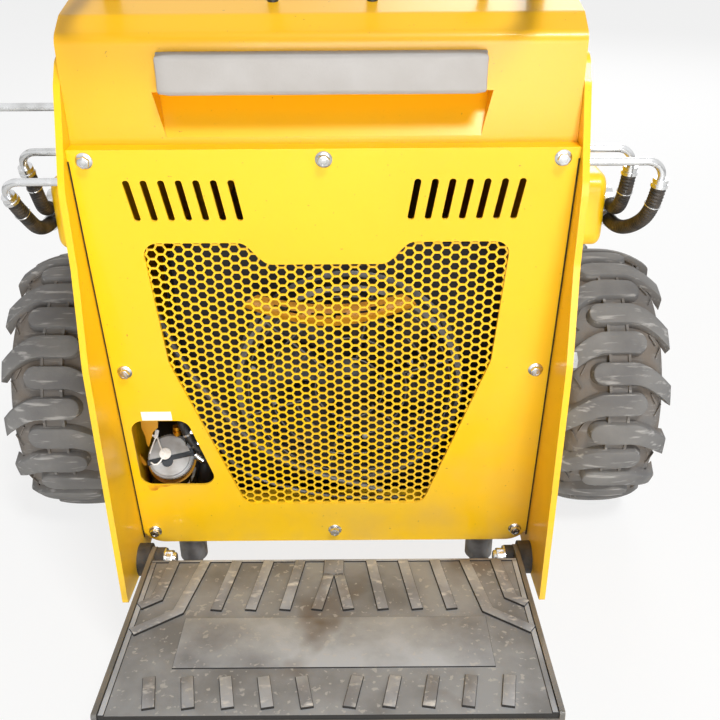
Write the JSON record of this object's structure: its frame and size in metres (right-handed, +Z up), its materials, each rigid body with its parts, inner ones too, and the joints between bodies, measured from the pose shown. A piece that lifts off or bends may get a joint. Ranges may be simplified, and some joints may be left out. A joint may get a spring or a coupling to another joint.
{
  "type": "mini wheel loader",
  "caption": "Stand-on mini wheel loader with folding rear platform, grilled rear panel, twin lift arms and a tilting bucket.",
  "frame": {"origin": "centre of the whole machine on the ground, at the middle of its overall box", "axes": "+Y forward to the bucket, +Z up, +X to the right of the operator"},
  "size_m": [1.4, 2.6229, 1.3841],
  "materials": {
    "yellow_paint": "semi-gloss",
    "black_paint": "satin",
    "wheel_paint": "satin",
    "zinc": "bright zinc",
    "worn_steel": "worn",
    "chrome": "polished",
    "cast_iron": "as cast",
    "tyre": "dusty",
    "rubber": "matt",
    "pad": "matt foam",
    "black_plastic": "moulded"
  },
  "bodies": {
    "chassis": {"arm_pivot_pin_left": "zinc", "arm_pivot_pin_right": "zinc", "belly_plate": "yellow_paint", "buffers": "rubber", "console": "yellow_paint", "cover_hinge_pin": "zinc", "drive_levers": "black_plastic", "engine_block": "cast_iron", "front_plate": "yellow_paint", "fuel_cap": "black_plastic", "fuel_tank": "black_plastic", "grille_screen": "yellow_paint", "hand_rail": "black_paint", "hoses_left": "rubber", "hoses_right": "rubber", "knee_pad": "pad", "lift_base_pin_left": "zinc", "lift_base_pin_right": "zinc", "loader_lever": "black_plastic", "nose_cover": "yellow_paint", "pipes_left": "zinc", "pipes_right": "zinc", "pivot_discs": "rubber", "platform_pivot_bolts": "zinc", "rear_beam": "yellow_paint", "rear_panel": "yellow_paint", "side_plate_left": "yellow_paint", "side_plate_right": "yellow_paint", "swivel_fittings_left": "zinc", "swivel_fittings_right": "zinc", "wheel_motor_front_left": "cast_iron", "wheel_motor_front_right": "cast_iron", "wheel_motor_rear_left": "cast_iron", "wheel_motor_rear_right": "cast_iron"},
    "engine_cover": {"engine_cover": "cast_iron"},
    "arms": {"lift_arm_left": "yellow_paint", "lift_arm_right": "yellow_paint", "rod_pin_left": "zinc", "rod_pin_right": "zinc", "arm_cross_tube": "yellow_paint", "arm_upper_tube": "yellow_paint"},
    "lift_left_cylinder": {"lift_left_barrel": "black_paint"},
    "lift_left_ram": {"lift_left_rod": "chrome"},
    "lift_right_cylinder": {"lift_right_barrel": "black_paint"},
    "lift_right_ram": {"lift_right_rod": "chrome"},
    "tilt_cylinder": {"tilt_barrel": "black_paint"},
    "tilt_ram": {"tilt_rod": "chrome"},
    "carrier": {"tool_carrier": "black_paint", "bucket": "black_paint", "cutting_edge": "worn_steel"},
    "platform": {"platform_deck": "black_paint", "platform_mat": "rubber"},
    "wheel_front_left": {"wheel_front_left": "wheel_paint", "tyre_front_left": "tyre"},
    "wheel_front_right": {"wheel_front_right": "wheel_paint", "tyre_front_right": "tyre"},
    "wheel_rear_left": {"wheel_rear_left": "wheel_paint", "tyre_rear_left": "tyre"},
    "wheel_rear_right": {"wheel_rear_right": "wheel_paint", "tyre_rear_right": "tyre"}
  },
  "joints": [
    {"name": "arm_lift", "type": "hinge", "parent": "chassis", "child": "arms", "pos_m": [0, -0.71016, 0.838], "axis": [1, 0, 0], "range_deg": [0, 64]},
    {"name": "bucket_tilt", "type": "hinge", "parent": "arms", "child": "carrier", "pos_m": [0, 0.75384, 0.13], "axis": [1, 0, 0], "range_deg": [-90, 20]},
    {"name": "platform_fold", "type": "hinge", "parent": "chassis", "child": "platform", "pos_m": [0, -0.90316, 0.219], "axis": [-1, 0, 0], "range_deg": [0, 72]},
    {"name": "cover_open", "type": "hinge", "parent": "chassis", "child": "engine_cover", "pos_m": [0, -0.01116, 0.67], "axis": [-1, 0, 0], "range_deg": [0, 62]},
    {"name": "lift_left_swing", "type": "hinge", "parent": "chassis", "child": "lift_left_cylinder", "pos_m": [-0.4175, -0.70116, 0.522], "axis": [1, 0, 0], "range_deg": [0, 37.89]},
    {"name": "lift_left_extend", "type": "slide", "parent": "lift_left_cylinder", "child": "lift_left_ram", "axis": [0, 0.8775, 0.4796], "range_m": [0, 0.25936]},
    {"name": "lift_right_swing", "type": "hinge", "parent": "chassis", "child": "lift_right_cylinder", "pos_m": [0.4175, -0.70116, 0.522], "axis": [1, 0, 0], "range_deg": [0, 37.89]},
    {"name": "lift_right_extend", "type": "slide", "parent": "lift_right_cylinder", "child": "lift_right_ram", "axis": [0, 0.8775, 0.4796], "range_m": [0, 0.25936]},
    {"name": "tilt_swing", "type": "hinge", "parent": "arms", "child": "tilt_cylinder", "pos_m": [0, 0.47384, 0.705], "axis": [1, 0, 0], "range_deg": [-1.12, 3.3]},
    {"name": "tilt_extend", "type": "slide", "parent": "tilt_cylinder", "child": "tilt_ram", "axis": [0, 0.5339, -0.8456], "range_m": [-0.03433, 0.14747]},
    {"name": "wheel_rear_left_spin", "type": "hinge", "parent": "chassis", "child": "wheel_rear_left", "pos_m": [-0.578, -0.35616, 0.2925], "axis": [1, 0, 0], "continuous": true},
    {"name": "wheel_rear_right_spin", "type": "hinge", "parent": "chassis", "child": "wheel_rear_right", "pos_m": [0.578, -0.35616, 0.2925], "axis": [1, 0, 0], "continuous": true},
    {"name": "wheel_front_left_spin", "type": "hinge", "parent": "chassis", "child": "wheel_front_left", "pos_m": [-0.578, 0.40384, 0.2925], "axis": [1, 0, 0], "continuous": true},
    {"name": "wheel_front_right_spin", "type": "hinge", "parent": "chassis", "child": "wheel_front_right", "pos_m": [0.578, 0.40384, 0.2925], "axis": [1, 0, 0], "continuous": true}
  ],
  "couplings": [
    {"joint": "lift_left_swing", "follows": "arm_lift", "ratio": 0.5842},
    {"joint": "lift_left_extend", "follows": "arm_lift", "m_per_rad": 0.2304},
    {"joint": "lift_right_swing", "follows": "arm_lift", "ratio": 0.5842},
    {"joint": "lift_right_extend", "follows": "arm_lift", "m_per_rad": 0.2304},
    {"joint": "tilt_swing", "follows": "bucket_tilt", "ratio": -0.0311},
    {"joint": "tilt_extend", "follows": "bucket_tilt", "m_per_rad": -0.09261}
  ]
}
